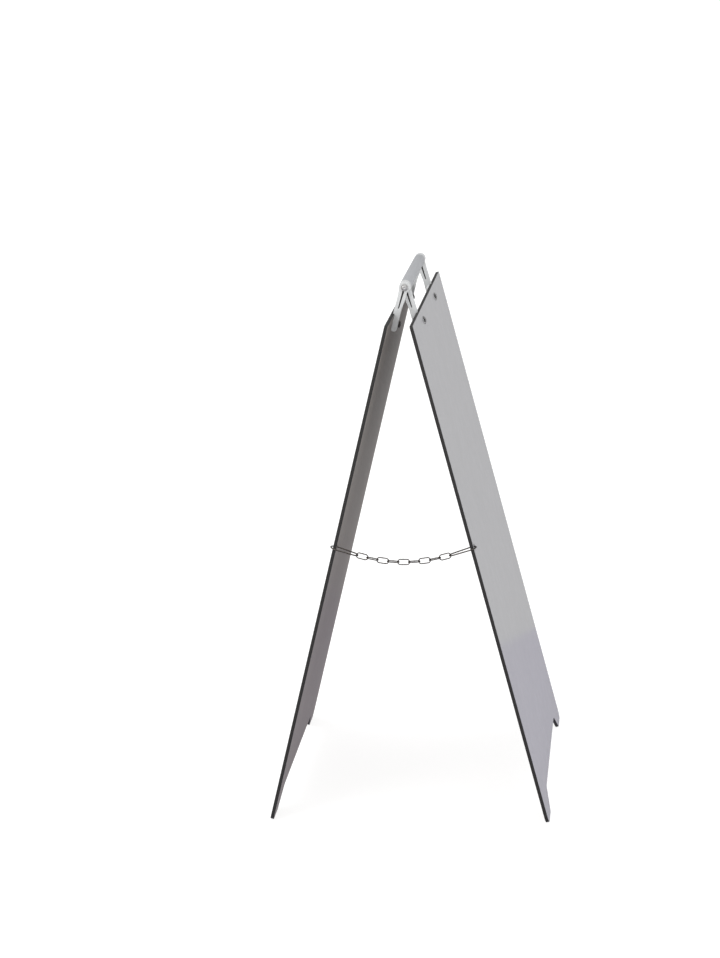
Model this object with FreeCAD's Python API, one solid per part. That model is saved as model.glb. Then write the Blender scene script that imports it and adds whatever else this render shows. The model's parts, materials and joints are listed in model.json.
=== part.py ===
import FreeCAD, Part
import math
import os
from FreeCAD import Vector

# A folding sandwich board. Two composite panels hang as leaves from one pivot bolt under a grip tube,
# and one chain near the -Y edges limits how far they open.
#
# Frame: millimetres, +Z up, X across the two leaves, Y along the grip.
# The origin is on the floor, midway between the leaves. The board stands open.
# Each leaf is drawn upright in its own leaf frame: the origin is on the pivot axis, +X points out of
# the leaf's poster side and Z runs up the panel. It is then leaned, and lifted to the pivot's height.

X_AXIS = Vector(1, 0, 0)
Y_AXIS = Vector(0, 1, 0)
Z_AXIS = Vector(0, 0, 1)
ORIGIN = Vector(0, 0, 0)

# Panels
panel_width = 600.0
panel_height = 900.0
panel_thickness = 6.0
skin_thickness = 0.3
skin_setback = 0.3            # the core stands this far proud of the skins at a foot's end
panel_corner_radius = 3.0
lean_deg = 14.14              # each leaf from upright, when open
panel_drop = 48.8             # pivot axis to the panel's top edge, along the leaf
inner_face_offset = 6.25      # pivot axis to the panel's inner face

# Cut-out between the two feet of a panel
foot_gap_height = 33.5
foot_gap_top = 390.0
foot_gap_bottom = 472.0
foot_gap_top_radius = 22.0
foot_toe_radius = 10.0
foot_outer_radius = 15.0

# Hinge arms, along Y from the outboard face inwards
arm_head_radius = 9.75
arm_thickness = 10.0
left_arm_outer_face = 172.0
arm_gap = 1.2                 # between neighbouring arm heads, where a spacer sits
tongue_inset = 9.75           # how far the tongue stands inside the panel's inner face
tongue_length = 30.0
tongue_radius = 5.0
tongue_root_radius = 3.0
arm_shoulder = 2.65           # how far the arm reaches over the panel's top edge
arm_inner_flank = 5.9         # pivot axis to the arm's straight inner side
arm_inner_start = 7.7
arm_inner_bend = 20.0
tongue_bend = 40.0
arm_outer_flank = 8.4
arm_outer_start = 5.0
arm_waist = 8.1               # pivot axis to the outer side, above the shoulder
arm_waist_drop = 19.0
arm_bend_radius = 6.0
arm_edge_radius = 1.0
slot_start = 5.8
slot_end = 38.0
slot_top_sides = (-1.3, 1.9)  # the tapered slot's two sides, from the pivot axis
slot_foot_sides = (1.0, 2.6)
slot_foot_radius = 0.7
slot_depth = 3.6              # from either side, with a web between
arm_eye_radius = 6.3          # solid ring round the bore, which the slot leaves whole
lug_thickness = 5.0
lug_overrun = 9.0             # lug beyond the bolt's axis
lug_corner_radius = 7.0
arm_bore_radius = 3.08

# Panel bolts
bolt_drop = 20.5              # panel top to the bolt's axis
left_bolt_y = 144.5
right_bolt_y = 126.5
bolt_radius = 2.95
bolt_hole_radius = 3.2
bolt_length = 20.0
bolt_neck = 6.0
bolt_neck_depth = 3.5
bolt_neck_play = 0.1
bolt_head_radius = 8.0
bolt_head_height = 4.0
washer_radius = 6.25
washer_thickness = 1.2
nut_across_flats = 10.0
nut_height = 6.2

# Pivot bolt and grip
pivot_radius = 3.0
pivot_head_radius = 6.2
pivot_head_height = 4.0
pivot_head_rounding = 1.8
pivot_head_socket = 3.6       # across the recess in the head
pivot_head_socket_depth = 2.2
end_clearance = 0.3
spacer_radius = 7.5
spacer_thickness = 0.8
cap_nut_across_flats = 10.0
cap_nut_hex_height = 5.0
cap_nut_dome_radius = 4.6
grip_radius = 10.0
grip_wall = 1.6
grip_flange = 1.6
grip_plug_length = 16.0
grip_bore_radius = 3.06

# Chain
chain_drop = 394.0            # panel top to the chain hole
chain_hole_radius = 5.2
chain_hole_inset = 15.7       # chain hole to the panel's -Y edge
chain_inset = 6.2             # chain to the panels' -Y edges
link_wire_radius = 0.95
link_inner_length = 18.1
link_outer_width = 11.2
link_play = 0.2
link_lean_deg = [15.0, 12.0, 8.0, 4.0]   # dip of each link of one half, from the loop to the middle
loop_wire_radius = 1.15
loop_length = 48.0            # between the centre lines of its two ends
loop_tip_radius = 7.8
loop_back_radius = 10.8
loop_tilt_deg = 4.0           # loop below square to the panel

lean = math.radians(lean_deg)
outer_face_offset = inner_face_offset + panel_thickness
panel_top = -panel_drop
panel_bottom = panel_top - panel_height
half_width = panel_width / 2
pivot_height = -panel_bottom * math.cos(lean) - (inner_face_offset + skin_thickness) * math.sin(lean)
right_arm_outer_face = left_arm_outer_face - arm_thickness - arm_gap
grip_end = right_arm_outer_face - arm_thickness - arm_gap
bolt_z = panel_top - bolt_drop
chain_hole_y = -half_width + chain_hole_inset
chain_y = -half_width + chain_inset


def rounded_outline(corners):
    """A closed wire in the XY plane through (u, v, radius) corners."""
    count = len(corners)
    ends = []
    for i in range(count):
        before, here, after = corners[i - 1], corners[i], corners[(i + 1) % count]
        point = Vector(here[0], here[1], 0)
        towards_before = (Vector(before[0], before[1], 0) - point).normalize()
        towards_after = (Vector(after[0], after[1], 0) - point).normalize()
        angle = towards_before.getAngle(towards_after)
        if here[2] == 0:
            ends.append((point, None, point))
            continue
        reach = here[2] / math.tan(angle / 2)
        start = point + towards_before * reach
        finish = point + towards_after * reach
        bisector = (towards_before + towards_after).normalize()
        centre = point + bisector * (here[2] / math.sin(angle / 2))
        middle = centre - bisector * here[2]
        ends.append((start, middle, finish))
    edges = []
    for i in range(count):
        start, middle, finish = ends[i]
        if middle is not None:
            edges.append(Part.Arc(start, middle, finish).toShape())
        following = ends[(i + 1) % count][0]
        if finish.distanceToPoint(following) > 1e-6:
            edges.append(Part.makeLine(finish, following))
    return Part.Wire(edges)


def plate_facing_x(corners, x_low, x_high):
    """A plate between two X values, from an outline of (y, z, radius) corners."""
    face = Part.Face(rounded_outline(corners))
    face.rotate(ORIGIN, Vector(1, 1, 1), 120)
    face.translate(Vector(x_low, 0, 0))
    return face.extrude(Vector(x_high - x_low, 0, 0))


def plate_facing_y(corners, y_low, y_high):
    """A plate between two Y values, from an outline of (x, z, radius) corners."""
    face = Part.Face(rounded_outline(corners))
    face.rotate(ORIGIN, X_AXIS, 90)
    face.translate(Vector(0, y_low, 0))
    return face.extrude(Vector(0, y_high - y_low, 0))


def hexagon(across_flats, height, base, direction):
    """A hexagonal prism that stands on base along direction."""
    radius = across_flats / math.sqrt(3)
    corners = [Vector(radius * math.cos(math.radians(60 * i)), radius * math.sin(math.radians(60 * i)), 0)
               for i in range(7)]
    prism = Part.Face(Part.makePolygon(corners)).extrude(Vector(0, 0, height))
    prism.Placement = FreeCAD.Placement(base, FreeCAD.Rotation(Z_AXIS, direction))
    return prism


def dome(radius, height, base, direction):
    """A spherical cap that stands on base along direction."""
    ball_radius = (radius ** 2 + height ** 2) / (2 * height)
    ball = Part.makeSphere(ball_radius, Vector(0, 0, height - ball_radius))
    block = Part.makeCylinder(radius + 1, height, ORIGIN, Z_AXIS)
    cap = ball.common(block)
    cap.Placement = FreeCAD.Placement(base, FreeCAD.Rotation(Z_AXIS, direction))
    return cap


def panel_outline():
    """The panel's (y, z, radius) corners: a tall sheet with two feet."""
    top = half_width
    toe = foot_gap_bottom / 2
    crown = foot_gap_top / 2
    gap_z = panel_bottom + foot_gap_height
    return [
        (-top, panel_top, panel_corner_radius),
        (-top, panel_bottom, foot_outer_radius),
        (-toe, panel_bottom, foot_toe_radius),
        (-crown, gap_z, foot_gap_top_radius),
        (crown, gap_z, foot_gap_top_radius),
        (toe, panel_bottom, foot_toe_radius),
        (top, panel_bottom, foot_outer_radius),
        (top, panel_top, panel_corner_radius),
    ]


def panel_layers(bolt_y):
    """The core and the two skins of one panel, with its holes."""
    inner_skin_top = inner_face_offset + skin_thickness
    outer_skin_base = outer_face_offset - skin_thickness
    spans = {
        "inner_skin": (inner_face_offset, inner_skin_top),
        "panel_core": (inner_skin_top, outer_skin_base),
        "outer_skin": (outer_skin_base, outer_face_offset),
    }
    chain_hole = Part.makeCylinder(
        chain_hole_radius, 2 * panel_thickness,
        Vector(inner_face_offset - panel_thickness / 2, chain_hole_y, panel_top - chain_drop), X_AXIS)
    holes = [chain_hole]
    pocket_side = bolt_neck + 2 * bolt_neck_play
    pocket_depth = bolt_neck_depth + bolt_neck_play
    for sign in (-1, 1):
        holes.append(Part.makeCylinder(
            bolt_hole_radius, 2 * panel_thickness,
            Vector(inner_face_offset - panel_thickness / 2, sign * bolt_y, bolt_z), X_AXIS))
        holes.append(Part.makeBox(
            pocket_depth + 1, pocket_side, pocket_side,
            Vector(outer_face_offset - pocket_depth, sign * bolt_y - pocket_side / 2,
                   bolt_z - pocket_side / 2)))
    foot_ends = Part.makeBox(
        2 * panel_thickness, panel_width, 2 * skin_setback,
        Vector(inner_face_offset - panel_thickness / 2, -half_width, panel_bottom - skin_setback))
    layers = {}
    for name, (x_low, x_high) in spans.items():
        cutters = holes if name == "panel_core" else holes + [foot_ends]
        layers[name] = plate_facing_x(panel_outline(), x_low, x_high).cut(cutters)
    return layers


def hinge_arm(outer_face, bolt_y, sign):
    """One moulded arm: a head on the pivot, a shank, a tongue on the panel and a lug for the bolt."""
    y_outer = sign * outer_face
    y_inner = sign * (outer_face - arm_thickness)
    y_low, y_high = min(y_outer, y_inner), max(y_outer, y_inner)
    head = Part.makeCylinder(arm_head_radius, arm_thickness, Vector(0, y_low, 0), Y_AXIS)
    tongue_x = inner_face_offset - tongue_inset
    tongue_z = panel_top - tongue_length
    shoulder_x = inner_face_offset + arm_shoulder
    shank = plate_facing_y([
        (-arm_inner_flank, -arm_inner_start, 0),
        (-arm_inner_flank, -arm_inner_bend, arm_bend_radius),
        (tongue_x, -tongue_bend, arm_bend_radius),
        (tongue_x, tongue_z, tongue_radius),
        (inner_face_offset, tongue_z, tongue_root_radius),
        (inner_face_offset, panel_top, 0),
        (shoulder_x, panel_top, arm_edge_radius),
        (arm_waist, -arm_waist_drop, arm_bend_radius),
        (arm_outer_flank, -arm_outer_start, 0),
    ], y_low, y_high)
    lug_end = sign * (bolt_y - lug_overrun)
    lug_low, lug_high = min(y_inner, lug_end), max(y_inner, lug_end)
    low_corner = lug_corner_radius if sign > 0 else 0
    high_corner = lug_corner_radius - low_corner
    lug = plate_facing_x([
        (lug_low, panel_top, low_corner),
        (lug_low, tongue_z, low_corner),
        (lug_high, tongue_z, high_corner),
        (lug_high, panel_top, high_corner),
    ], inner_face_offset - lug_thickness, inner_face_offset)
    slot_corners = [
        (slot_top_sides[0], -slot_start, 0),
        (slot_foot_sides[0], -slot_end, slot_foot_radius),
        (slot_foot_sides[1], -slot_end, slot_foot_radius),
        (slot_top_sides[1], -slot_start, 0),
    ]
    slots = [plate_facing_y(slot_corners, y_low - 1, y_low + slot_depth),
             plate_facing_y(slot_corners, y_high - slot_depth, y_high + 1)]
    bore = Part.makeCylinder(arm_bore_radius, arm_thickness + 2, Vector(0, y_low - 1, 0), Y_AXIS)
    eye = Part.makeCylinder(arm_eye_radius, arm_thickness + 4, Vector(0, y_low - 2, 0), Y_AXIS)
    bolt_hole = Part.makeCylinder(
        bolt_hole_radius, 2 * lug_thickness,
        Vector(inner_face_offset - 1.5 * lug_thickness, sign * bolt_y, bolt_z), X_AXIS)
    arm = head.fuse([shank, lug]).removeSplitter()
    return arm.cut([slot.cut(eye) for slot in slots] + [bore, bolt_hole])


def carriage_bolt(y):
    """Dome head on the poster side, square neck in the panel, shank through the lug."""
    seat = Vector(outer_face_offset, y, bolt_z)
    head = dome(bolt_head_radius, bolt_head_height, seat, X_AXIS)
    neck = Part.makeBox(bolt_neck_depth, bolt_neck, bolt_neck,
                        seat + Vector(-bolt_neck_depth, -bolt_neck / 2, -bolt_neck / 2))
    shank = Part.makeCylinder(bolt_radius, bolt_length, seat - Vector(bolt_length, 0, 0), X_AXIS)
    return head.fuse([neck, shank]).removeSplitter()


def lock_washer(y):
    """Flat washer between the lug and the nut."""
    x = inner_face_offset - lug_thickness - washer_thickness
    base = Vector(x, y, bolt_z)
    disc = Part.makeCylinder(washer_radius, washer_thickness, base, X_AXIS)
    return disc.cut(Part.makeCylinder(bolt_hole_radius, washer_thickness, base, X_AXIS))


def panel_nut(y):
    """Hexagon nut on the bolt's inner end, chamfered on its free side."""
    x = inner_face_offset - lug_thickness - washer_thickness - nut_height
    base = Vector(x, y, bolt_z)
    nut = hexagon(nut_across_flats, nut_height, base, X_AXIS)
    tip_radius = nut_across_flats / 2
    cone = Part.makeCone(tip_radius, tip_radius + 2 * nut_height, nut_height, base, X_AXIS)
    nut = nut.common(cone)
    return nut.cut(Part.makeCylinder(bolt_radius, nut_height, base, X_AXIS))


def stand(shape, side):
    """Lean a leaf-frame shape to its side (-1 left, +1 right) and lift it to the pivot."""
    placed = shape.mirror(ORIGIN, X_AXIS) if side < 0 else shape.copy()
    placed.rotate(ORIGIN, Y_AXIS, -side * lean_deg)
    placed.translate(Vector(0, 0, pivot_height))
    return placed


def leaf(side_name, side, arm_face, bolt_y):
    """Every node of one leaf."""
    nodes = dict(panel_layers(bolt_y))
    for end, sign in (("near", -1), ("far", 1)):
        nodes["arm_" + end] = hinge_arm(arm_face, bolt_y, sign)
        nodes["carriage_bolt_" + end] = carriage_bolt(sign * bolt_y)
        nodes["washer_" + end] = lock_washer(sign * bolt_y)
        nodes["nut_" + end] = panel_nut(sign * bolt_y)
    return {side_name + "_" + name: stand(shape, side) for name, shape in nodes.items()}


def pivot_assembly():
    """The long bolt with its pan head at the -Y end, its cap nut and the spacers between the arms."""
    face = left_arm_outer_face + end_clearance
    centre = Vector(0, 0, pivot_height)
    shank = Part.makeCylinder(pivot_radius, 2 * face + cap_nut_hex_height,
                              centre - Vector(0, face, 0), Y_AXIS)
    head = Part.makeCylinder(pivot_head_radius, pivot_head_height,
                             centre - Vector(0, face + pivot_head_height, 0), Y_AXIS)
    rim = [edge for edge in head.Edges
           if edge.Closed and abs(edge.CenterOfMass.y + face + pivot_head_height) < 1e-6]
    head = head.makeFillet(pivot_head_rounding, rim)
    socket = hexagon(pivot_head_socket, pivot_head_socket_depth,
                     centre - Vector(0, face + pivot_head_height, 0), Y_AXIS)
    bolt = head.fuse(shank).removeSplitter().cut(socket)
    nut_base = centre + Vector(0, face, 0)
    hex_part = hexagon(cap_nut_across_flats, cap_nut_hex_height, nut_base, Y_AXIS)
    cap = dome(cap_nut_dome_radius, cap_nut_dome_radius,
               nut_base + Vector(0, cap_nut_hex_height, 0), Y_AXIS)
    cap_nut = hex_part.fuse(cap).removeSplitter()
    cap_nut = cap_nut.cut(Part.makeCylinder(pivot_radius, cap_nut_hex_height, nut_base, Y_AXIS))
    gap_centres = [left_arm_outer_face - arm_thickness - arm_gap / 2, grip_end + arm_gap / 2]
    spacers = []
    for distance in gap_centres:
        for sign in (-1, 1):
            base = centre + Vector(0, sign * distance - spacer_thickness / 2, 0)
            disc = Part.makeCylinder(spacer_radius, spacer_thickness, base, Y_AXIS)
            spacers.append(disc.cut(Part.makeCylinder(pivot_radius, spacer_thickness, base, Y_AXIS)))
    return {"pivot_bolt": bolt, "pivot_cap_nut": cap_nut, "pivot_spacers": Part.makeCompound(spacers)}


def grip():
    """The tube in the hand and the flanged plug in each of its ends."""
    centre = Vector(0, 0, pivot_height)
    tube_end = grip_end - grip_flange
    start = centre - Vector(0, tube_end, 0)
    tube = Part.makeCylinder(grip_radius, 2 * tube_end, start, Y_AXIS)
    tube = tube.cut(Part.makeCylinder(grip_radius - grip_wall, 2 * tube_end, start, Y_AXIS))
    nodes = {"grip_tube": tube}
    for end, sign in (("near", -1), ("far", 1)):
        out = Vector(0, sign, 0)
        mouth = centre + out * tube_end
        plug = Part.makeCylinder(grip_radius - grip_wall, grip_plug_length, mouth, out * -1)
        flange = Part.makeCylinder(grip_radius, grip_flange, mouth, out)
        bore = Part.makeCylinder(grip_bore_radius, grip_plug_length + grip_flange,
                                 mouth - out * grip_plug_length, out)
        nodes["grip_plug_" + end] = plug.fuse(flange).removeSplitter().cut(bore)
    return nodes


def wire_ring(length, tip_radius, back_radius, wire_radius):
    """A closed ring of round wire in the XY plane: its tip's centre line passes through the origin.

    length is between the centre lines of the two ends, which are arcs of two radii joined by
    two straight legs. The ring lies along +X."""
    span = length - tip_radius - back_radius
    slope = math.asin((back_radius - tip_radius) / span)
    tip_centre = Vector(tip_radius, 0, 0)
    back_centre = Vector(length - back_radius, 0, 0)
    normal = Vector(-math.sin(slope), math.cos(slope), 0)
    mirrored = Vector(normal.x, -normal.y, 0)
    leg_start = tip_centre + normal * tip_radius
    leg_end = back_centre + normal * back_radius
    other_start = tip_centre + mirrored * tip_radius
    other_end = back_centre + mirrored * back_radius
    sweep_back = 180 + 2 * math.degrees(slope)
    sweep_tip = 360 - sweep_back
    leg = leg_end - leg_start
    disc = Part.Face(Part.Wire(Part.makeCircle(wire_radius, leg_start, leg)))
    pieces = [disc.extrude(leg)]
    end_disc = disc.copy()
    end_disc.translate(leg)
    pieces.append(end_disc.revolve(back_centre, Z_AXIS, -sweep_back))
    back_disc = Part.Face(Part.Wire(Part.makeCircle(wire_radius, other_end, other_start - other_end)))
    pieces.append(back_disc.extrude(other_start - other_end))
    tip_disc = back_disc.copy()
    tip_disc.translate(other_start - other_end)
    pieces.append(tip_disc.revolve(tip_centre, Z_AXIS, -sweep_tip))
    return pieces[0].fuse(pieces[1:]).removeSplitter()


def lay_ring(ring, tip, dip_deg, face_on, side):
    """Turn a ring so that it runs from tip down a slope towards +X, then mirror it for the right side."""
    placed = ring.copy()
    if face_on:
        placed.rotate(ORIGIN, X_AXIS, 90)
    placed.rotate(ORIGIN, Y_AXIS, dip_deg)
    placed.translate(tip)
    if side > 0:
        placed = placed.mirror(ORIGIN, X_AXIS)
    return placed


def chain():
    """Both end loops and the links. Face-on links lie in the XZ plane and the others across it."""
    link_length = link_inner_length + 2 * link_wire_radius
    link_end_radius = link_outer_width / 2 - link_wire_radius
    link = wire_ring(link_length, link_end_radius, link_end_radius, link_wire_radius)
    loop = wire_ring(loop_length, loop_tip_radius, loop_back_radius, loop_wire_radius)
    face_reach = link_inner_length - 2 * (link_wire_radius + link_play)
    first_reach = face_reach - (loop_wire_radius - link_wire_radius)
    cross_reach = link_inner_length + 2 * link_wire_radius
    reaches = [first_reach, cross_reach, face_reach, cross_reach]
    half_span = face_reach / 2
    drop = 0
    for reach, dip in zip(reaches, link_lean_deg):
        half_span += reach * math.cos(math.radians(dip))
        drop += reach * math.sin(math.radians(dip))
    hole_offset = inner_face_offset + panel_thickness / 2
    hole_drop = panel_drop + chain_drop
    hole_x = hole_offset * math.cos(lean) + hole_drop * math.sin(lean)
    hole_z = pivot_height - hole_drop * math.cos(lean) + hole_offset * math.sin(lean)
    loop_dip = lean_deg + loop_tilt_deg
    run = hole_x - half_span
    tip = Vector(-half_span, chain_y, hole_z - run * math.tan(math.radians(loop_dip)))
    nodes = {}
    for side, name in ((-1, "left"), (1, "right")):
        nodes["chain_loop_" + name] = lay_ring(loop, tip, loop_dip + 180, False, side)
    pin = tip
    middle = len(link_lean_deg) + 1
    for i, (reach, dip) in enumerate(zip(reaches, link_lean_deg)):
        face_on = i % 2 == 0
        pin_play = 0
        if face_on:
            hooked = loop_wire_radius if i == 0 else link_wire_radius
            pin_play = hooked + link_play + link_wire_radius
        slope = Vector(math.cos(math.radians(dip)), 0, -math.sin(math.radians(dip)))
        start = pin - slope * pin_play
        for side, number in ((-1, i + 1), (1, 2 * middle - i - 1)):
            nodes["chain_link_%d" % number] = lay_ring(link, start, dip, face_on, side)
        pin = pin + slope * reach
    start = pin - Vector(2 * link_wire_radius + link_play, 0, 0)
    nodes["chain_link_%d" % middle] = lay_ring(link, start, 0, True, -1)
    return nodes


def build():
    """Every node of the board by name."""
    nodes = {}
    nodes.update(pivot_assembly())
    nodes.update(grip())
    nodes.update(leaf("left", -1, left_arm_outer_face, left_bolt_y))
    nodes.update(leaf("right", 1, right_arm_outer_face, right_bolt_y))
    nodes.update(chain())
    return nodes


os.makedirs("parts", exist_ok=True)
for node_name, node_shape in build().items():
    node_shape.exportStep("parts/" + node_name + ".step")
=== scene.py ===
import json
import math
import bmesh
import bpy
from mathutils import Matrix, Vector
from mathutils.geometry import tessellate_polygon


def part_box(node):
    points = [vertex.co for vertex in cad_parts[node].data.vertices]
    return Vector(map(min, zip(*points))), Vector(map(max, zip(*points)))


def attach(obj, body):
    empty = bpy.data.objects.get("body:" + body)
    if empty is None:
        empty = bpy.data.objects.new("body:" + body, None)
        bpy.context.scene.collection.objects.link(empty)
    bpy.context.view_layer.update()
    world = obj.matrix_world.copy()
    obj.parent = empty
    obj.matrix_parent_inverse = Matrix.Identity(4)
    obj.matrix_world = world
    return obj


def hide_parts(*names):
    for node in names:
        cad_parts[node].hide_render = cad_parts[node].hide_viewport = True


# A folding sandwich board, standing open on a pale studio floor. Metres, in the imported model's frame:
# +Z up, X across the two leaves, Y along the grip.
#
# Each leaf has its own leaf frame: the origin is on the pivot axis, +X points out of the poster side
# and Z runs up the panel. Pieces of a leaf are built there and then stood up with leaf_matrix().

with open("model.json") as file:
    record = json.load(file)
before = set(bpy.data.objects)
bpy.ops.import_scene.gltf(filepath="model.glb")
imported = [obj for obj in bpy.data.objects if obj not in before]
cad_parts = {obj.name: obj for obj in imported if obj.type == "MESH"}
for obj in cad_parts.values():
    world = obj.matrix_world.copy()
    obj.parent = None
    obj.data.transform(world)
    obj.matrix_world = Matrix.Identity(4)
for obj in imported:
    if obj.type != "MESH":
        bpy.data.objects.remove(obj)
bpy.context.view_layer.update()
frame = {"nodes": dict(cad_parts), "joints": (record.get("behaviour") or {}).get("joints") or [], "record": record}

MM = 0.001
SIDES = {"left": -1, "right": 1}
ENDS = {"near": -1, "far": 1}

# Edges, as rounded as the real ones
SKIN_EDGE = 0.07 * MM
CORE_EDGE = 0.15 * MM
MOULDED_EDGE = 0.5 * MM
EDGE_TURNS = (0, 30, 60, 90)  # degrees round an edge
THICK_PLATE = 8.0             # edge radii, over which a plate's wall has rings of its own
SHARP_ANGLE = math.radians(35)

# Tolerances
SAME_PLANE = 0.02 * MM
SAME_POINT = 0.001 * MM
ZERO = 1e-9

# Hinge arms
ARM_THICKNESS = 10.0 * MM
LUG_THICKNESS = 5.0 * MM
SLOT_WEB = 2.8 * MM
SLOT_MARGIN = 0.3 * MM        # how far the web runs on into the arm
LUG_MARGIN = 0.6 * MM         # how far a lug's root runs on into the arm

# Fasteners
TURN_STEPS = 48
HEX_STEPS = 72
THREAD_PITCH = 1.0 * MM
THREAD_DEPTH = 0.5 * MM
THREAD_ROWS = 8               # per turn
THREAD_ROOT = 1.25            # depths: what is over 1 leaves the root flat
THREAD_FLANK = 1.5            # depths from a crest's middle to a root's
BOLT_RADIUS = 2.95 * MM
BOLT_NECK = 6.0 * MM
BOLT_NECK_DEPTH = 3.5 * MM
BOLT_NECK_CORNER = 0.66       # of the neck's width, from its middle
BOLT_RIM = 0.3 * MM
NUT_BORE = 2.9 * MM
NUT_CHAMFER = 0.5 * MM
HEX_CHAMFER = math.tan(math.radians(30))
HEX_FACE = 0.97               # the flat face's radius, of the hexagon's inner radius
HEX_CORNER = 1.135            # the rounded corners', of the same
PIVOT_RADIUS = 3.0 * MM
PIVOT_BUTTON = 3.9 * MM
PIVOT_GROOVE = 0.7 * MM
PIVOT_GROOVE_DEPTH = 2.3 * MM
PIVOT_RIM = 0.6 * MM
PIVOT_RIM_DROP = 0.9 * MM
PIVOT_KEY = 3.6 * MM
PIVOT_KEY_DEPTH = 2.2 * MM
CAP_HEX_HEIGHT = 5.0 * MM
CAP_DOME = 4.6 * MM
GRIP_WALL = 1.6 * MM
PLUG_FLANGE = 1.6 * MM
PLUG_BORE = 3.06 * MM
PLATE_EDGE = 0.25 * MM

# Wire: length between the centre lines of the ends, tip radius, back radius, wire radius
LINK_WIRE = (20.0 * MM, 4.65 * MM, 4.65 * MM, 0.95 * MM)
LOOP_WIRE = (48.0 * MM, 7.8 * MM, 10.8 * MM, 1.15 * MM)
LOOP_TILT = math.radians(4.0)
WIRE_STEPS = 20
WIRE_SAMPLE = 0.45 * MM
WELD_BULGE = 0.14
WELD_HALF_LENGTH = 0.8 * MM
MIDDLE_LINK = 5
LAST_LINK = 9

# Camera
CAMERA_PLACE = (0.405, -4.757, 1.6454)
CAMERA_YAW = math.radians(-6.09)
CAMERA_PITCH = math.radians(12.97)
CAMERA_ROLL = math.radians(-1.41)
CAMERA_LENS = 102.41
CAMERA_SENSOR = 36.0
CAMERA_CLIP = 100.0

# Studio
WORLD_LIGHT = 1.12
FLOOR_SIZE = 20.0
FLOOR_COLOR = (0.36, 0.36, 0.36)
FLOOR_CLOUD = (0.34, 0.34, 0.342)
FLOOR_GLOW = 0.8
CARD_REACH = 6.0
CARD_SINK = 0.004
CARD_FLOOR_WIDTH = 1.5
CARD_FLOOR_COLOR = (0.345, 0.33, 0.40)
CARD_WALL = 1.08              # Y of the wall behind the board
CARD_WALL_COLOR = (0.43, 0.428, 0.432)
CARD_SIDE = 2.6               # X of the dark wall beside it
CARD_SIDE_NEAR = -1.0
CARD_SIDE_COLOR = (0.05, 0.05, 0.05)
KEY_PLACE = (-2.2, -3.0, 3.4)
KEY_TARGET = (0, 0, 0.5)
KEY_SIZE = 1.6
KEY_POWER = 34
KEY_COLOR = (1.0, 0.99, 0.97)


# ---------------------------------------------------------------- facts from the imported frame

def joint(name):
    """The record of one joint."""
    return next(j for j in frame["joints"] if j["name"] == name)


def mount(name):
    """The record of one mount."""
    return next(m for m in frame["record"]["mounts"] if m["name"] == name)


PIVOT = Vector(joint("fold_left")["pos_m"])
FOOT_AXIS = mount("foot_right_near")["axis"]
LEAN = math.atan2(FOOT_AXIS[0], -FOOT_AXIS[2])


def leaf_matrix(side):
    """Leaf frame to row frame. side is -1 for the left leaf and 1 for the right."""
    stand = Matrix.Translation(PIVOT) @ Matrix.Rotation(-side * LEAN, 4, "Y")
    return stand @ Matrix.Diagonal((side, 1, 1, 1))


def box_in(node, matrix):
    """Lowest and highest corners of a CAD node in the frame that matrix stands up."""
    back = matrix.inverted()
    points = [back @ v.co for v in frame["nodes"][node].data.vertices]
    low = Vector(min(p[i] for p in points) for i in range(3))
    high = Vector(max(p[i] for p in points) for i in range(3))
    return low, high


def middle(node):
    """The centre of a CAD node's box at rest."""
    low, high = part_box(node)
    return (low + high) / 2


# ---------------------------------------------------------------- materials

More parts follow.
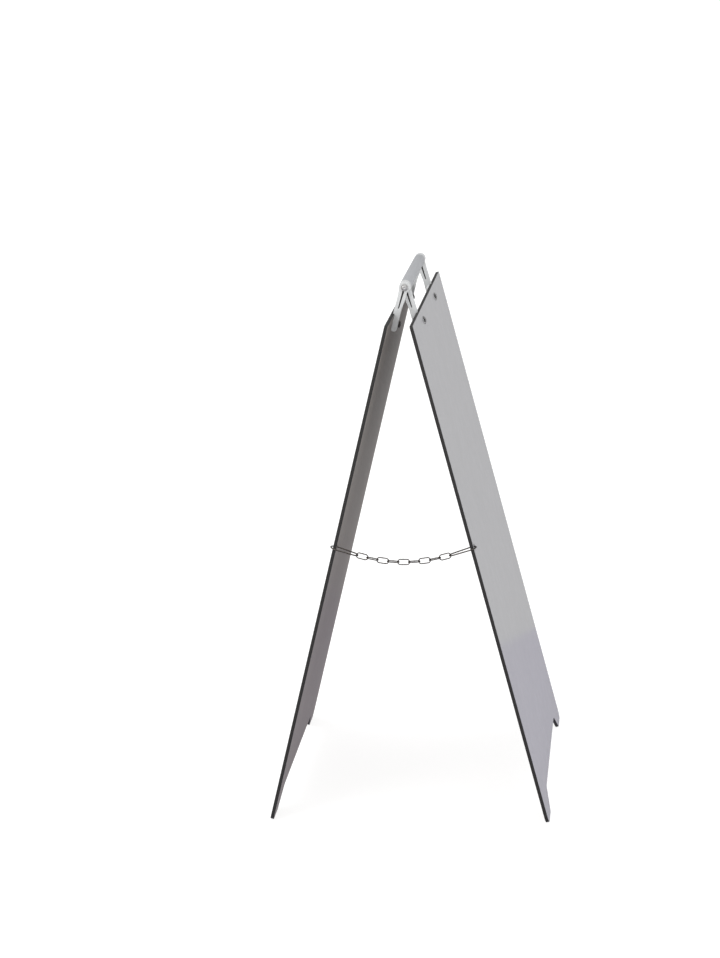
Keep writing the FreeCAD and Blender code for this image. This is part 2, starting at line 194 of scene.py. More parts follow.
class Finish:
    """Builds one procedural material. Lengths are in metres, in the piece's own coordinates."""

    def __init__(self, name, color, roughness, metallic=0.0):
        self.material = bpy.data.materials.new(name)
        self.material.use_nodes = True
        self.tree = self.material.node_tree
        self.shader = self.tree.nodes["Principled BSDF"]
        self.set("Base Color", (*color, 1.0))
        self.set("Roughness", roughness)
        self.set("Metallic", metallic)
        self.color = color
        self.place = self.add("ShaderNodeTexCoord").outputs["Object"]
        self.normal = None

    def add(self, kind):
        return self.tree.nodes.new(kind)

    def link(self, source, target):
        self.tree.links.new(source, target)

    def set(self, socket, value):
        self.shader.inputs[socket].default_value = value

    def noise(self, size, detail=3.0, roughness=0.55, stretch=(1.0, 1.0, 1.0), turn=(0.0, 0.0, 0.0)):
        """Noise of 0 to 1 whose features are about size long, longer along an axis by its stretch."""
        mapping = self.add("ShaderNodeMapping")
        mapping.inputs["Rotation"].default_value = turn
        mapping.inputs["Scale"].default_value = tuple(1.0 / (size * s) for s in stretch)
        self.link(self.place, mapping.inputs["Vector"])
        texture = self.add("ShaderNodeTexNoise")
        texture.inputs["Scale"].default_value = 1.0
        texture.inputs["Detail"].default_value = detail
        texture.inputs["Roughness"].default_value = roughness
        self.link(mapping.outputs["Vector"], texture.inputs["Vector"])
        return texture.outputs["Fac"]

    def cells(self, size):
        """Voronoi cells of about that size: a random colour for each."""
        mapping = self.add("ShaderNodeMapping")
        mapping.inputs["Scale"].default_value = (1.0 / size,) * 3
        self.link(self.place, mapping.inputs["Vector"])
        texture = self.add("ShaderNodeTexVoronoi")
        texture.inputs["Scale"].default_value = 1.0
        self.link(mapping.outputs["Vector"], texture.inputs["Vector"])
        split = self.add("ShaderNodeSeparateColor")
        self.link(texture.outputs["Color"], split.inputs["Color"])
        return split.outputs["Red"]

    def height(self):
        """The height over the floor, at rest."""
        split = self.add("ShaderNodeSeparateXYZ")
        self.link(self.place, split.inputs["Vector"])
        return split.outputs["Z"]

    def spread(self, value, low, high, out_low=0.0, out_high=1.0):
        """Maps low..high to out_low..out_high, held at the ends."""
        node = self.add("ShaderNodeMapRange")
        node.inputs["From Min"].default_value = low
        node.inputs["From Max"].default_value = high
        node.inputs["To Min"].default_value = out_low
        node.inputs["To Max"].default_value = out_high
        self.link(value, node.inputs["Value"])
        return node.outputs["Result"]

    def math(self, operation, first, second):
        node = self.add("ShaderNodeMath")
        node.operation = operation
        for socket, value in zip(node.inputs, (first, second)):
            if isinstance(value, float):
                socket.default_value = value
            else:
                self.link(value, socket)
        return node.outputs["Value"]

    def tint(self, factor, color, base=None):
        """Mixes a colour over the base, or over what base gives, by factor.

        The mix node's inputs 6 and 7 and its output 2 are the ones for colours."""
        node = self.add("ShaderNodeMix")
        node.data_type = "RGBA"
        self.link(factor, node.inputs["Factor"])
        if base is None:
            node.inputs[6].default_value = (*self.color, 1.0)
        else:
            self.link(base, node.inputs[6])
        node.inputs[7].default_value = (*color, 1.0)
        return node.outputs[2]

    def bump(self, height, distance, strength=1.0):
        """Adds a bump of that height in metres on top of the ones before."""
        node = self.add("ShaderNodeBump")
        node.inputs["Distance"].default_value = distance
        node.inputs["Strength"].default_value = strength
        self.link(height, node.inputs["Height"])
        if self.normal is not None:
            self.link(self.normal, node.inputs["Normal"])
        self.normal = node.outputs["Normal"]

    def done(self, color=None, roughness=None):
        if color is not None:
            self.link(color, self.shader.inputs["Base Color"])
        if roughness is not None:
            self.link(roughness, self.shader.inputs["Roughness"])
        if self.normal is not None:
            self.link(self.normal, self.shader.inputs["Normal"])
        return self.material


def coated_skin(name, color, dust, gloss):
    """Coil-coated aluminium: a faint orange peel, hairline scratches, handling marks and foot dust."""
    look = Finish(name, color, gloss)
    look.set("Specular IOR Level", 0.5)
    mottle = look.spread(look.noise(90 * MM, detail=3.0), 0.3, 0.7)
    darker = tuple(c * 0.97 for c in color)
    tone = look.tint(mottle, darker)
    along_y = look.noise(0.5 * MM, detail=2.0, roughness=0.5,
                         stretch=(1.0, 60.0, 1.5), turn=(0.5, 0.0, 0.0))
    along_z = look.noise(0.6 * MM, detail=2.0, roughness=0.5,
                         stretch=(1.0, 1.5, 70.0), turn=(-0.25, 0.0, 0.0))
    lines = look.math("MAXIMUM", look.spread(along_y, 0.72, 0.8), look.spread(along_z, 0.73, 0.8))
    patches = look.spread(look.noise(120 * MM, detail=2.0), 0.5, 0.62)
    lines = look.math("MULTIPLY", lines, patches)
    lighter = tuple(min(1.0, c * 1.12 + 0.02) for c in color)
    tone = look.tint(look.math("MULTIPLY", lines, 0.08), lighter, tone)
    near_floor = look.spread(look.height(), 0.0, 110 * MM, 1.0, 0.0)
    specks = look.spread(look.noise(9 * MM, detail=5.0, roughness=0.65), 0.42, 0.7)
    grime = look.math("MULTIPLY", near_floor, specks)
    tone = look.tint(look.math("MULTIPLY", grime, 0.55), dust, tone)
    handled = look.noise(25 * MM, detail=5.0, roughness=0.6)
    rough = look.spread(handled, 0.3, 0.7, gloss - 0.02, gloss + 0.03)
    rough = look.math("ADD", rough, look.math("MULTIPLY", grime, 0.1))
    look.bump(look.noise(2.2 * MM, detail=2.0), 0.0008 * MM)
    look.bump(look.noise(240 * MM, detail=1.0), 0.05 * MM, 0.5)
    return look.done(tone, rough)


def sawn_core(name, color):
    """Black polyethylene core, sawn: fine marks across the sheet's thickness and smears of bright dust."""
    look = Finish(name, color, 0.6)
    marks = look.noise(0.35 * MM, detail=3.0, roughness=0.6, stretch=(12.0, 1.0, 1.0))
    smear = look.spread(look.noise(5 * MM, detail=4.0, roughness=0.7), 0.55, 0.75)
    tone = look.tint(look.math("MULTIPLY", smear, 0.5), tuple(c * 2.2 + 0.01 for c in color))
    rough = look.spread(marks, 0.3, 0.7, 0.45, 0.75)
    look.bump(marks, 0.05 * MM)
    return look.done(tone, rough)


def moulded(name, color, grain, roughness, grime_color):
    """Injection-moulded plastic with a fine spark-eroded grain and faint flow marks."""
    look = Finish(name, color, roughness)
    look.set("Subsurface Weight", 0.06)
    look.set("Subsurface Radius", (4 * MM, 4 * MM, 4 * MM))
    flow = look.spread(look.noise(14 * MM, detail=3.0, roughness=0.5, stretch=(1.0, 2.5, 1.0)), 0.3, 0.7)
    tone = look.tint(flow, tuple(c * 0.95 for c in color))
    soil = look.spread(look.noise(6 * MM, detail=6.0, roughness=0.7), 0.56, 0.78)
    tone = look.tint(look.math("MULTIPLY", soil, 0.22), grime_color, tone)
    rough = look.spread(look.noise(3 * MM, detail=4.0), 0.3, 0.7, roughness - 0.06, roughness + 0.08)
    look.bump(look.noise(grain, detail=3.0), 0.03 * MM)
    look.bump(look.noise(9 * MM, detail=2.0), 0.12 * MM, 0.4)
    return look.done(tone, rough)


def plated(name, color, stain, roughness):
    """Zinc-plated steel: a fine crystalline mottle, a warm passivate tint and dull stains."""
    look = Finish(name, color, roughness, 1.0)
    tone = look.tint(look.cells(0.7 * MM), tuple(c * 0.86 for c in color))
    warm = look.spread(look.noise(4 * MM, detail=3.0), 0.4, 0.65)
    tone = look.tint(look.math("MULTIPLY", warm, 0.45), stain, tone)
    stains = look.noise(1.6 * MM, detail=5.0, roughness=0.65)
    dull = look.spread(stains, 0.35, 0.7, roughness - 0.08, roughness + 0.2)
    look.bump(look.noise(0.5 * MM, detail=4.0), 0.02 * MM)
    return look.done(tone, dull)


MATERIALS = {
    "outer_skin": coated_skin("coated_skin_outer", (0.45, 0.45, 0.465), (0.31, 0.29, 0.27), 0.12),
    # The inner skin's darker brown-grey is partly its back coat and partly painted shade: its base is darkened to
    # the shaded inner faces
    "inner_skin": coated_skin("coated_skin_inner", (0.255, 0.225, 0.208), (0.19, 0.17, 0.155), 0.4),
    "panel_core": sawn_core("sawn_black_core", (0.014, 0.013, 0.012)),
    "hinge_arm": moulded("moulded_white", (0.62, 0.63, 0.635), 0.35 * MM, 0.42, (0.42, 0.39, 0.34)),
    "grip_tube": moulded("drawn_tube_grey", (0.40, 0.41, 0.43), 0.5 * MM, 0.36, (0.36, 0.34, 0.31)),
    "grip_plug": moulded("moulded_plug_grey", (0.46, 0.47, 0.48), 0.35 * MM, 0.45, (0.38, 0.35, 0.31)),
    "spacer": moulded("spacer_dark", (0.05, 0.05, 0.05), 0.3 * MM, 0.5, (0.12, 0.11, 0.1)),
    # Near-black painted shade for the arms' slot walls and webs, where the real slot lies in shade
    "slot_painted_shade": moulded("moulded_recess_painted_shade", (0.05, 0.048, 0.046), 0.5 * MM, 0.7, (0.03, 0.028, 0.025)),
    "skin_edge": plated("sheared_skin_edge", (0.24, 0.24, 0.245), (0.16, 0.16, 0.165), 0.5),
    "pivot_steel": plated("plated_pivot", (0.7, 0.7, 0.695), (0.58, 0.56, 0.53), 0.26),
    "panel_bolt": plated("plated_bolt", (0.56, 0.56, 0.565), (0.42, 0.41, 0.39), 0.18),
    "nut": plated("dark_nut", (0.085, 0.08, 0.075), (0.12, 0.1, 0.08), 0.42),
    "chain": plated("plated_chain", (0.125, 0.115, 0.105), (0.11, 0.085, 0.06), 0.24),
}


# ---------------------------------------------------------------- pieces

def place_piece(name, bm, matrix, body, slot, nodes, second=None):
    """Turns a mesh into a piece on its body that stands for the CAD nodes.

    second is the finish of its marked faces."""
    bm.transform(matrix)
    if matrix.determinant() < 0:
        bmesh.ops.reverse_faces(bm, faces=bm.faces)
    for edge in bm.edges:
        edge.smooth = edge.calc_face_angle(math.pi) < SHARP_ANGLE
    mesh = bpy.data.meshes.new(name)
    bm.to_mesh(mesh)
    bm.free()
    mesh.materials.append(MATERIALS[slot])
    if second:
        mesh.materials.append(MATERIALS[second])
    piece = bpy.data.objects.new(name, mesh)
    bpy.context.scene.collection.objects.link(piece)
    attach(piece, body)
    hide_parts(*nodes)
    return piece


def outline_loops(node, stand, level=None):
    """The rims of a CAD node's face at X = level, or its furthest, in the frame that stand stands up.

    They are loops of (y, z) with the solid on their left, and the longest is the first."""
    bm = bmesh.new()
    bm.from_mesh(frame["nodes"][node].data)
    bm.transform(stand.inverted())
    bmesh.ops.remove_doubles(bm, verts=bm.verts, dist=SAME_POINT)
    bm.normal_update()
    bm.verts.index_update()
    level = max(v.co.x for v in bm.verts) if level is None else level
    faces = {face for face in bm.faces
             if abs(face.normal.x) > 0.99 and abs(face.calc_center_median().x - level) < SAME_PLANE}
    places = {v.index: Vector((v.co.y, v.co.z)) for v in bm.verts}
    neighbours = {}
    for edge in bm.edges:
        if sum(face in faces for face in edge.link_faces) == 1:
            for here, there in (edge.verts, reversed(edge.verts)):
                neighbours.setdefault(here.index, []).append(there.index)
    bm.free()
    loops = []
    while neighbours:
        walk = [min(neighbours)]
        walk.append(neighbours[walk[0]][0])
        while walk[-1] != walk[0]:
            walk.append(next(n for n in neighbours[walk[-1]] if n != walk[-2]))
        for index in walk[1:]:
            del neighbours[index]
        loops.append([places[index] for index in walk[1:]])

    def area(loop):
        return sum(a.x * b.y - a.y * b.x for a, b in zip(loop, loop[1:] + loop[:1])) / 2

    loops.sort(key=lambda loop: -abs(area(loop)))
    return [loop if (area(loop) > 0) == (i == 0) else loop[::-1] for i, loop in enumerate(loops)]


def inset_loop(loop, inset):
    """The loop moved by inset into the sheet, with its corners mitred."""
    moved = []
    for i, here in enumerate(loop):
        before = (here - loop[i - 1]).normalized()
        after = (loop[(i + 1) % len(loop)] - here).normalized()
        left, right = Vector((-before.y, before.x)), Vector((-after.y, after.x))
        moved.append(here + (left + right) * (inset / (1.0 + left.dot(right))))
    return moved


def rounded_plate(loops, low, high, edge, marked=None):
    """A plate between two X values with rounded rims.

    The rims have the second finish. Where marked lists loops, only their straight walls have it."""
    turns = [math.radians(t) for t in EDGE_TURNS]
    rows = [(edge * (1 - math.sin(t)), edge * (1 - math.cos(t))) for t in turns]
    if high - low > THICK_PLATE * edge:
        rows.append((0.0, 2 * edge))
    rows = [(inset, low + x) for inset, x in rows] + [(inset, high - x) for inset, x in reversed(rows)]
    bm = bmesh.new()
    caps = [[], []]
    for number, loop in enumerate(loops):
        rings = []
        for inset, x in rows:
            rings.append([bm.verts.new((x, p.x, p.y)) for p in inset_loop(loop, inset)])
        for i in range(len(rows) - 1):
            wall = rows[i][0] < ZERO and rows[i + 1][0] < ZERO
            finish = 1 if marked is None or number in marked and wall else 0
            for k in range(len(loop)):
                m = (k + 1) % len(loop)
                face = bm.faces.new((rings[i][k], rings[i][m], rings[i + 1][m], rings[i + 1][k]))
                face.smooth = True
                face.material_index = finish
        caps[0] += rings[0]
        caps[1] += rings[-1]
    outlines = [[(p.x, p.y, 0.0) for p in inset_loop(loop, edge)] for loop in loops]
    for triangle in tessellate_polygon(outlines):
        for cap in caps:
            bm.faces.new([cap[i] for i in triangle])
    bmesh.ops.recalc_face_normals(bm, faces=bm.faces)
    return bm


def joined(parts):
    """One mesh out of several, each with its matrix. The parts are used up."""
    whole = bmesh.new()
    for part, matrix in parts:
        part.transform(matrix)
        mesh = bpy.data.meshes.new("part")
        part.to_mesh(mesh)
        part.free()
        whole.from_mesh(mesh)
        bpy.data.meshes.remove(mesh)
    return whole


def finished(bm):
    """A curved shape with its normals outwards and smooth."""
    bmesh.ops.recalc_face_normals(bm, faces=bm.faces)
    for face in bm.faces:
        face.smooth = True
    return bm


def turned(profile, steps=TURN_STEPS, closed=False):
    """A turned shape about Z. profile(angle) lists (radius, z) points; a radius of 0 is on the axis.

    An open profile starts and ends on the axis, and a closed one is a ring's section."""
    bm = bmesh.new()
    rings = []
    for i in range(steps):
        angle = 2 * math.pi * i / steps
        across, up = math.cos(angle), math.sin(angle)
        rings.append([bm.verts.new((r * across, r * up, z)) for r, z in profile(angle)])
    count = len(rings[0])
    for i in range(steps):
        here, after = rings[i], rings[(i + 1) % steps]
        for k in range(count if closed else count - 1):
            m = (k + 1) % count
            bm.faces.new((here[k], after[k], after[m], here[m]))
    bmesh.ops.remove_doubles(bm, verts=bm.verts, dist=SAME_POINT / 10)
    return finished(bm)


def polygon_radius(angle, sides, inradius, limit=math.inf):
    """Distance from the middle of a regular polygon to its outline, held to limit at the corners."""
    step = 2 * math.pi / sides
    offset = (angle + step / 2) % step - step / 2
    return min(inradius / math.cos(offset), limit)


def build_panels():
    """Each panel is a black core between two thin skins."""
    layers = (("panel_core", CORE_EDGE, "panel_core"), ("outer_skin", SKIN_EDGE, "skin_edge"),
              ("inner_skin", SKIN_EDGE, "skin_edge"))
    for name, side in SIDES.items():
        stand = leaf_matrix(side)
        for layer, edge, rim in layers:
            node = name + "_" + layer
            low, high = box_in(node, stand)
            bm = rounded_plate(outline_loops(node, stand), low.x, high.x, edge)
            place_piece("board_" + node, bm, stand, name + "_leaf", layer, [node], rim)


def build_arms():
    """Each arm is a rounded plate that faces along the pivot, a web in its slot and a lug on the panel."""
    for name, side in SIDES.items():
        stand = leaf_matrix(side)
        panel_face = box_in(name + "_inner_skin", stand)[0].x
        for end, sign in ENDS.items():
            node = name + "_arm_" + end
            facing = Matrix.Rotation(sign * math.pi / 2, 4, "Z")
            outer = box_in(node, stand @ facing)[1].x
            loops = outline_loops(node, stand @ facing)
            slot = min(range(1, len(loops)), key=lambda i: max(p.y for p in loops[i]))
            # The slot's straight walls take the second finish, the near-black painted shade of the slot
            body = rounded_plate(loops, outer - ARM_THICKNESS, outer, MOULDED_EDGE, [slot])
            web_rim = [inset_loop(loops[slot][::-1], -SLOT_MARGIN)]
            centre = outer - ARM_THICKNESS / 2
            web = rounded_plate(web_rim, centre - SLOT_WEB / 2, centre + SLOT_WEB / 2, SKIN_EDGE)
            # The web takes it too: painted shade deep in the slot
            for face in web.faces:
                face.material_index = 1
            behind = Matrix.Rotation(math.pi, 4, "Z")
            loops = outline_loops(node, stand @ behind, LUG_THICKNESS - panel_face)
            root = outer - ARM_THICKNESS
            for loop in loops:
                for p in loop:
                    if abs(abs(p.x) - root) < SAME_PLANE:
                        p.x *= (root + LUG_MARGIN) / root
            lug = rounded_plate(loops, -panel_face, LUG_THICKNESS - panel_face, MOULDED_EDGE, [])
            bm = joined([(body, facing), (web, facing), (lug, behind)])
            # Its second finish is the slot's painted shade
            place_piece("moulded_" + node, bm, stand, name + "_leaf", "hinge_arm", [node], "slot_painted_shade")


def along(place, direction):
    """Stands a turned piece's Z axis along direction, from place."""
    return Matrix.Translation(place) @ Vector(direction).to_track_quat("Z", "Y").to_matrix().to_4x4()


def arc(centre, radius, start, finish, steps=6):
    """Points of an arc in a turned profile, with both ends. Angles in degrees from the radius axis."""
    turns = [math.radians(start + (finish - start) * i / steps) for i in range(steps + 1)]
    return [(centre[0] + radius * math.cos(t), centre[1] + radius * math.sin(t)) for t in turns]


def thread_rows(angle, start, finish, radius, tip):
    """A helical thread from start down to finish, which tapers at its tip."""
    count = round((start - finish) / THREAD_PITCH * THREAD_ROWS)
    rows = []
    for i in range(count + 1):
        z = start + (finish - start) * i / count
        phase = (z / THREAD_PITCH - angle / (2 * math.pi)) % 1.0
        flank = min(1.0, max(0.0, THREAD_ROOT - abs(2.0 * phase - 1.0) * THREAD_FLANK))
        limit = radius - THREAD_DEPTH + max(0.0, z - finish) * tip
        rows.append((min(radius - THREAD_DEPTH * flank, limit), z))
    return rows


def carriage_bolt(radius, height, length):
    """A domed head over a square neck and a threaded shank; the head's seat is at 0."""
    ball = (radius ** 2 + height ** 2) / (2 * height)
    rim = math.degrees(math.acos((radius - BOLT_RIM) / ball))

    def profile(angle):
        neck = polygon_radius(angle, 4, BOLT_NECK / 2, BOLT_NECK * BOLT_NECK_CORNER)
        points = arc((0.0, height - ball), ball, 90, rim, 10)
        points += [(radius - BOLT_RIM / 2, BOLT_RIM / 2), (radius - BOLT_RIM, 0.0), (neck, 0.0)]
        points += [(neck, -BOLT_NECK_DEPTH)]
        points += thread_rows(angle, -BOLT_NECK_DEPTH - THREAD_PITCH / 4, -length, BOLT_RADIUS, 1.0)
        return points + [(0.0, -length)]

    return turned(profile)


def hexagon(angle, inradius):
    """A nut's outline radius at an angle, its face's radius, and how far its chamfer falls between them."""
    face = inradius * HEX_FACE
    flat = polygon_radius(angle, 6, inradius, inradius * HEX_CORNER)
    return flat, face, (flat - face) * HEX_CHAMFER


def hex_nut(inradius, height):
    """A hexagon nut, chamfered on both faces and in its bore."""
    def profile(angle):
        flat, face, fall = hexagon(angle, inradius)
        return [(NUT_BORE + NUT_CHAMFER, 0.0), (face, 0.0), (flat, fall), (flat, height - fall),
                (face, height), (NUT_BORE + NUT_CHAMFER, height), (NUT_BORE, height - NUT_CHAMFER),
                (NUT_BORE, NUT_CHAMFER)]

    return turned(profile, HEX_STEPS, True)


def rounded_ring(inner, outer, low, high, edge):
    """A ring of rectangular section whose four edges are rounded."""
    def profile(angle):
        return (arc((outer - edge, low + edge), edge, -90, 0, 3)
                + arc((outer - edge, high - edge), edge, 0, 90, 3)
                + arc((inner + edge, high - edge), edge, 90, 180, 3)
                + arc((inner + edge, low + edge), edge, 180, 270, 3))

    return turned(profile, TURN_STEPS, True)


def pivot_bolt(radius, height, length):
    """A pan head with a hexagonal recess and a long shank; the head's top is at 0 and it runs to +Z."""
    def profile(angle):
        key = polygon_radius(angle, 6, PIVOT_KEY / 2)
        mouth = key + PLATE_EDGE / 2
        points = [(0.0, PIVOT_KEY_DEPTH + PLATE_EDGE), (key, PIVOT_KEY_DEPTH), (key, PLATE_EDGE / 2)]
        points += [(mouth, 0.0)]
        points += arc((PIVOT_BUTTON - PIVOT_GROOVE, PIVOT_GROOVE), PIVOT_GROOVE, -90, 0, 4)
        points += [(PIVOT_BUTTON, PIVOT_GROOVE_DEPTH), (PIVOT_BUTTON + PIVOT_GROOVE, PIVOT_GROOVE_DEPTH)]
        points += arc((radius - PIVOT_RIM, PIVOT_RIM_DROP + PIVOT_RIM), PIVOT_RIM, -120, 0)
        points += [(radius, height - PLATE_EDGE), (radius - PLATE_EDGE, height), (PIVOT_RADIUS, height)]
        return points + [(PIVOT_RADIUS, length), (0.0, length)]

    return turned(profile, HEX_STEPS)


def cap_nut(inradius):
    """A hexagon with a domed cap; its seat is at 0 and the dome is at +Z."""
    def profile(angle):
        flat, face, fall = hexagon(angle, inradius)
        points = [(PIVOT_RADIUS, 0.0), (face, 0.0), (flat, fall), (flat, CAP_HEX_HEIGHT - fall)]
        points += [(CAP_DOME, CAP_HEX_HEIGHT - PLATE_EDGE)]
        points += arc((0.0, CAP_HEX_HEIGHT), CAP_DOME, 0, 90, 10)
        return [(0.0, CAP_HEX_HEIGHT), (PIVOT_RADIUS, CAP_HEX_HEIGHT)] + points

    return turned(profile, HEX_STEPS)


def wire_ring(length, tip_radius, back_radius, wire):
    """A welded ring of round wire in the XY plane. Its tip is at the origin and it lies along +X."""
    span = length - tip_radius - back_radius
    slope = math.asin((back_radius - tip_radius) / span)
    leg = span * math.cos(slope)
    start = math.pi / 2 + slope
    back_turn = back_radius * 2 * start
    tip_turn = tip_radius * 2 * (math.pi - start)
    total = 2 * leg + back_turn + tip_turn
    tip_centre = Vector((tip_radius, 0.0, 0.0))
    back_centre = Vector((length - back_radius, 0.0, 0.0))

    def outward(angle):
        return Vector((math.cos(angle), math.sin(angle), 0.0))

    def on_leg(normal, part):
        """The point of the leg on that side which is part of the way from the tip to the back."""
        return (tip_centre + normal * tip_radius).lerp(back_centre + normal * back_radius, part)

    def at(walked):
        """Centre-line point and outward direction, clockwise from the middle of the +Y leg."""
        if walked < leg / 2:
            normal = outward(start)
            return on_leg(normal, 0.5 + walked / leg), normal
        walked -= leg / 2
        if walked < back_turn:
            normal = outward(start - walked / back_radius)
            return back_centre + normal * back_radius, normal
        walked -= back_turn
        if walked < leg:
            normal = outward(-start)
            return on_leg(normal, 1.0 - walked / leg), normal
        walked -= leg
        if walked < tip_turn:
            normal = outward(-start - walked / tip_radius)
            return tip_centre + normal * tip_radius, normal
        normal = outward(start)
        return on_leg(normal, (walked - tip_turn) / leg), normal

    bm = bmesh.new()
    count = round(total / WIRE_SAMPLE)
    rings = []
    for i in range(count):
        walked = total * i / count
        centre, normal = at(walked)
        apart = min(walked, total - walked) / WELD_HALF_LENGTH
        radius = wire * (1.0 + WELD_BULGE * math.exp(-apart ** 2))
        ring = []
        for k in range(WIRE_STEPS):
            turn = 2 * math.pi * k / WIRE_STEPS
            side = normal * math.cos(turn) + Vector((0.0, 0.0, math.sin(turn)))
            ring.append(bm.verts.new(centre + side * radius))
        rings.append(ring)
    for i in range(count):
        here, after = rings[i], rings[(i + 1) % count]
        for k in range(WIRE_STEPS):
            m = (k + 1) % WIRE_STEPS
            bm.faces.new((here[k], after[k], after[m], here[m]))
    return finished(bm)


def place_fastener(node, bm, side, seat, slot):
    """Stands a turned fastener of one side's leaf on its seat, pointing out of the poster side."""
    body = node.split("_")[0] + "_leaf"
    place_piece("fastener_" + node, bm, leaf_matrix(side) @ along(seat, (1, 0, 0)), body, slot, [node])


def build_fasteners():
    """Each arm's lug is held on its panel by a carriage bolt, a washer and a nut on the bolt's axis."""
    for name, side in SIDES.items():
        stand = leaf_matrix(side)
        outer_face = box_in(name + "_outer_skin", stand)[1].x
        for end in ENDS:
            bolt, nut, washer = (name + part + end for part in ("_carriage_bolt_", "_nut_", "_washer_"))
            low, high = box_in(bolt, stand)
            axis = (low + high) / 2
            bm = carriage_bolt((high.y - low.y) / 2, high.x - outer_face, outer_face - low.x)
            place_fastener(bolt, bm, side, (outer_face, axis.y, axis.z), "panel_bolt")
            low, high = box_in(nut, stand)
            bm = hex_nut(min(high.y - low.y, high.z - low.z) / 2, high.x - low.x)
            place_fastener(nut, bm, side, (low.x, axis.y, axis.z), "nut")
            low, high = box_in(washer, stand)
            bore = BOLT_RADIUS + PLATE_EDGE
            bm = rounded_ring(bore, (high.y - low.y) / 2, 0.0, high.x - low.x, PLATE_EDGE)
            place_fastener(washer, bm, side, (low.x, axis.y, axis.z), "nut")


def build_pivot():
    """The bolt and its cap nut, and the spacers between the arm heads and beside the grip."""
    low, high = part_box("pivot_bolt")
    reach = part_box("pivot_cap_nut")[0].y
    radius = (high.x - low.x) / 2
    head = Vector((PIVOT.x, low.y, PIVOT.z))
    bm = pivot_bolt(radius, -reach - low.y, high.y - low.y)
    place_piece("pivot_bolt_piece", bm, along(head, (0, 1, 0)), "pivot", "pivot_steel", ["pivot_bolt"])
    low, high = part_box("pivot_cap_nut")
    bm = cap_nut(min(high.x - low.x, high.z - low.z) / 2)
    seat = along((PIVOT.x, low.y, PIVOT.z), (0, 1, 0)) @ Matrix.Rotation(math.pi / 6, 4, "Z")
    place_piece("pivot_cap_nut_piece", bm, seat, "pivot", "pivot_steel", ["pivot_cap_nut"])
    low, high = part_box("pivot_spacers")
    outer = (high.x - low.x) / 2
    faces = sorted({round(abs(v.co.y), 5) for v in frame["nodes"]["pivot_spacers"].data.vertices})
    discs = []
    for near_face, far_face in zip(faces[::2], faces[1::2]):
        for sign in ENDS.values():
            disc = rounded_ring(PLUG_BORE, outer, 0.0, far_face - near_face, PLATE_EDGE)
            discs.append((disc, along((PIVOT.x, sign * near_face, PIVOT.z), (0, sign, 0))))
    place_piece("pivot_spacers_piece", joined(discs), Matrix(), "pivot", "spacer", ["pivot_spacers"])


def build_grip():
    """The tube, and a flanged plug in each of its ends."""
    low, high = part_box("grip_tube")
    radius = (high.x - low.x) / 2
    centre = Vector((PIVOT.x, 0.0, PIVOT.z))
    bm = rounded_ring(radius - GRIP_WALL, radius, low.y, high.y, PLATE_EDGE)
    place_piece("grip_tube_piece", bm, along(centre, (0, 1, 0)), "grip", "grip_tube", ["grip_tube"])
    for end, sign in ENDS.items():
        node = "grip_plug_" + end
        low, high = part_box(node)
        depth = high.y - low.y
        body = radius - GRIP_WALL

        def profile(angle):
            rim = radius - PLATE_EDGE
            return (arc((rim, depth - PLATE_EDGE), PLATE_EDGE, 90, 0, 3)
                    + arc((rim, depth - PLUG_FLANGE + PLATE_EDGE), PLATE_EDGE, 0, -90, 3)
                    + [(body, depth - PLUG_FLANGE), (body, 2 * PLATE_EDGE), (body - 2 * PLATE_EDGE, 0.0),
                       (PLUG_BORE, 0.0), (PLUG_BORE, depth - PLATE_EDGE), (PLUG_BORE + PLATE_EDGE, depth)])

        inner_end = Vector((PIVOT.x, sign * min(abs(low.y), abs(high.y)), PIVOT.z))
        place_piece(node + "_piece", turned(profile, TURN_STEPS, True), along(inner_end, (0, sign, 0)),
                    "grip", "grip_plug", [node])


def build_chain():
    """Each link reaches from its own pin to the next one towards the middle link's far end."""
    pins = {n: Vector(joint("link_%d_turn" % n)["pos_m"]) for n in range(1, LAST_LINK + 1)}
    pins["end"] = Vector((-pins[MIDDLE_LINK].x, pins[MIDDLE_LINK].y, pins[MIDDLE_LINK].z))
    after = {n: n + 1 for n in range(1, MIDDLE_LINK)}
    after.update({n: n - 1 for n in range(MIDDLE_LINK + 2, LAST_LINK + 1)})
    after.update({MIDDLE_LINK: "end", MIDDLE_LINK + 1: "end"})
    across = Vector((0.0, 1.0, 0.0))
    for number, following in after.items():
        run = (pins[following] - pins[number]).normalized()
        up = run.cross(across)
        width = up if number % 2 else across
        axes = Matrix((run, width, run.cross(width))).transposed().to_4x4()
        node = "chain_link_%d" % number
        centre = Matrix.Translation((-LINK_WIRE[0] / 2, 0.0, 0.0))
        matrix = Matrix.Translation(middle(node)) @ axes @ centre
        place_piece("wire_" + node, wire_ring(*LINK_WIRE), matrix, "link_%d" % number, "chain", [node])
    for name, side in SIDES.items():
        dip = LEAN + LOOP_TILT
        run = Vector((side * math.cos(dip), 0.0, math.sin(dip)))
        axes = Matrix((run, across, run.cross(across))).transposed().to_4x4()
        node = "chain_loop_" + name
        first = pins[1 if side < 0 else LAST_LINK]
        place_piece("wire_" + node, wire_ring(*LOOP_WIRE), Matrix.Translation(first) @ axes,
                    "loop_" + name, "chain", [node])


# ---------------------------------------------------------------- studio

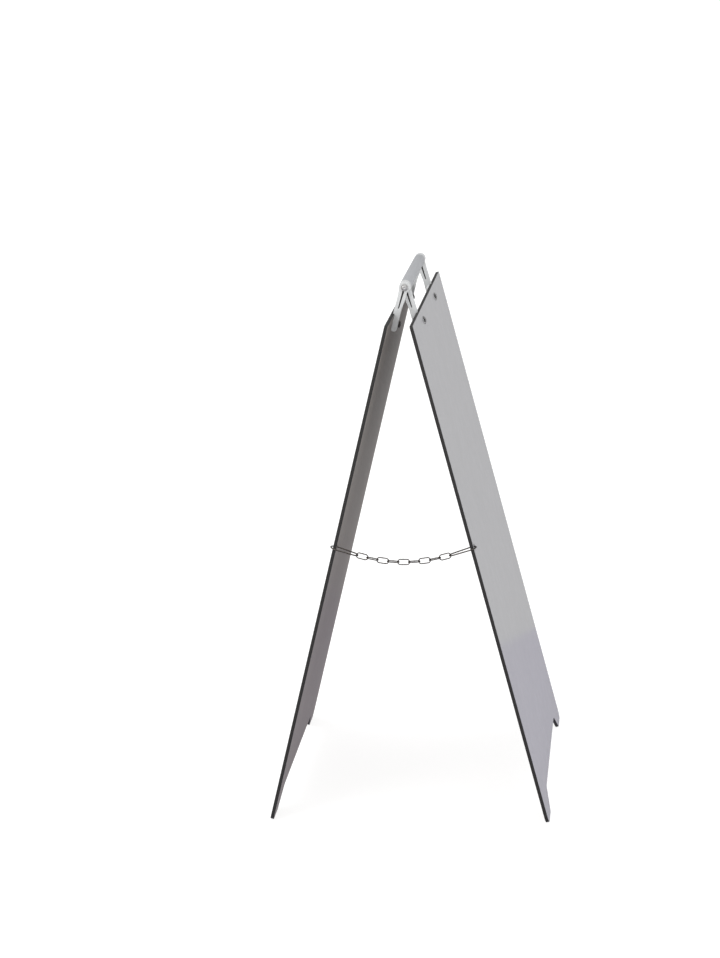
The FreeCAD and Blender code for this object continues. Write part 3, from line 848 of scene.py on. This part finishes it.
def build_camera():
    """A long lens in front of the board's -Y end, a little to the right and looking slightly down."""
    forward = Vector((math.sin(CAMERA_YAW) * math.cos(CAMERA_PITCH),
                      math.cos(CAMERA_YAW) * math.cos(CAMERA_PITCH),
                      -math.sin(CAMERA_PITCH)))
    right = Vector((math.cos(CAMERA_YAW), -math.sin(CAMERA_YAW), 0.0))
    up = right.cross(forward)
    rolled_right = right * math.cos(CAMERA_ROLL) + up * math.sin(CAMERA_ROLL)
    rolled_up = up * math.cos(CAMERA_ROLL) - right * math.sin(CAMERA_ROLL)
    data = bpy.data.cameras.new("camera")
    data.lens = CAMERA_LENS
    data.sensor_width = CAMERA_SENSOR
    data.sensor_fit = "AUTO"
    data.clip_end = CAMERA_CLIP
    camera = bpy.data.objects.new("camera", data)
    axes = Matrix((rolled_right, rolled_up, -forward)).transposed()
    camera.matrix_world = Matrix.Translation(CAMERA_PLACE) @ axes.to_4x4()
    bpy.context.scene.collection.objects.link(camera)
    bpy.context.scene.camera = camera


def build_key_light():
    """A soft light high on the left."""
    data = bpy.data.lights.new("key", "AREA")
    data.shape = "SQUARE"
    data.size = KEY_SIZE
    data.energy = KEY_POWER
    data.color = KEY_COLOR
    light = bpy.data.objects.new("key", data)
    light.location = KEY_PLACE
    light.rotation_euler = (Vector(KEY_TARGET) - Vector(KEY_PLACE)).to_track_quat("-Z", "Y").to_euler()
    bpy.context.scene.collection.objects.link(light)


def reflection_card(name, corners, color):
    """A card outside the picture that only shows in glossy surfaces, as a room's floor and walls do."""
    bm = bmesh.new()
    bm.faces.new([bm.verts.new(Vector(c) + Vector((0.0, 0.0, -CARD_SINK))) for c in corners])
    mesh = bpy.data.meshes.new(name)
    bm.to_mesh(mesh)
    bm.free()
    look = Finish(name, (0.0, 0.0, 0.0), 1.0)
    look.color = color
    tone = look.tint(look.noise(0.8, detail=3.0), tuple(c * 0.9 for c in color))
    look.link(tone, look.shader.inputs["Emission Color"])
    look.set("Emission Strength", 1.0)
    mesh.materials.append(look.done())
    card = bpy.data.objects.new(name, mesh)
    bpy.context.scene.collection.objects.link(card)
    card.visible_camera = False
    card.visible_diffuse = False
    card.visible_shadow = False


def build_studio():
    """A white world, a pale paper floor, the reflection cards and one soft light."""
    world = bpy.data.worlds.new("studio")
    bpy.context.scene.world = world
    world.use_nodes = True
    background = world.node_tree.nodes["Background"]
    background.inputs["Color"].default_value = (1.0, 1.0, 1.0, 1.0)
    background.inputs["Strength"].default_value = WORLD_LIGHT
    bm = bmesh.new()
    bmesh.ops.create_grid(bm, x_segments=8, y_segments=8, size=FLOOR_SIZE)
    mesh = bpy.data.meshes.new("studio_floor")
    bm.to_mesh(mesh)
    bm.free()
    floor = bpy.data.objects.new("studio_floor", mesh)
    look = Finish("floor_paper", FLOOR_COLOR, 0.9)
    tone = look.tint(look.noise(0.4, detail=4.0), FLOOR_CLOUD)
    look.set("Emission Color", (1.0, 1.0, 1.0, 1.0))
    look.set("Emission Strength", FLOOR_GLOW)
    mesh.materials.append(look.done(tone))
    bpy.context.scene.collection.objects.link(floor)
    floor.visible_glossy = False
    reach, width, near = CARD_REACH, CARD_FLOOR_WIDTH, CARD_SIDE_NEAR
    reflection_card("card_floor", [(-width, -reach, 0), (width, -reach, 0), (width, reach, 0),
                                   (-width, reach, 0)], CARD_FLOOR_COLOR)
    reflection_card("card_wall", [(-reach, CARD_WALL, 0), (reach, CARD_WALL, 0),
                                  (reach, CARD_WALL, reach), (-reach, CARD_WALL, reach)],
                    CARD_WALL_COLOR)
    reflection_card("card_side", [(CARD_SIDE, near, 0), (CARD_SIDE, reach, 0),
                                  (CARD_SIDE, reach, reach), (CARD_SIDE, near, reach)],
                    CARD_SIDE_COLOR)
    build_key_light()
    bpy.context.scene.view_settings.view_transform = "Standard"


build_panels()
build_arms()
build_fasteners()
build_pivot()
build_grip()
build_chain()
build_studio()
build_camera()
